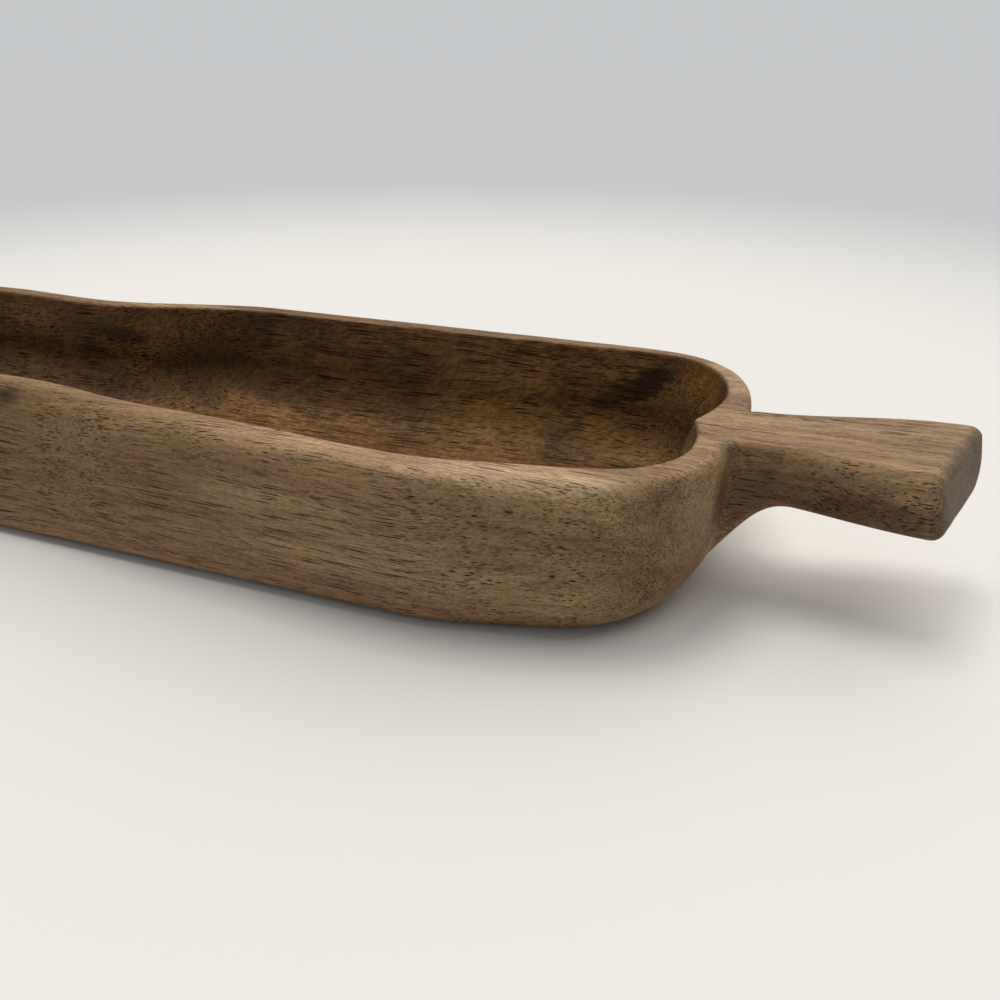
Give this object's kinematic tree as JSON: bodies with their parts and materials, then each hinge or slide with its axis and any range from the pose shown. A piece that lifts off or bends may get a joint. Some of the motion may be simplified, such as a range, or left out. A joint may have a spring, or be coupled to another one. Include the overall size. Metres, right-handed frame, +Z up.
{
  "type": "wooden bowl",
  "caption": "Long waisted serving bowl carved from one piece of wood, with a flat base, a lobed hollow and a short flared stem handle at one end.",
  "frame": {"origin": "on the surface that the bowl rests on, below the middle of its bounding box", "axes": "+X along the bowl from its tip to the stem's end, +Y to the far side in the picture, +Z up"},
  "size_m": [0.5666, 0.1366, 0.0555],
  "materials": {
    "carved_wood": "hand-rubbed open-pored wood, satin"
  },
  "bodies": {
    "root": {"carved_bowl": "carved_wood"}
  },
  "joints": []
}
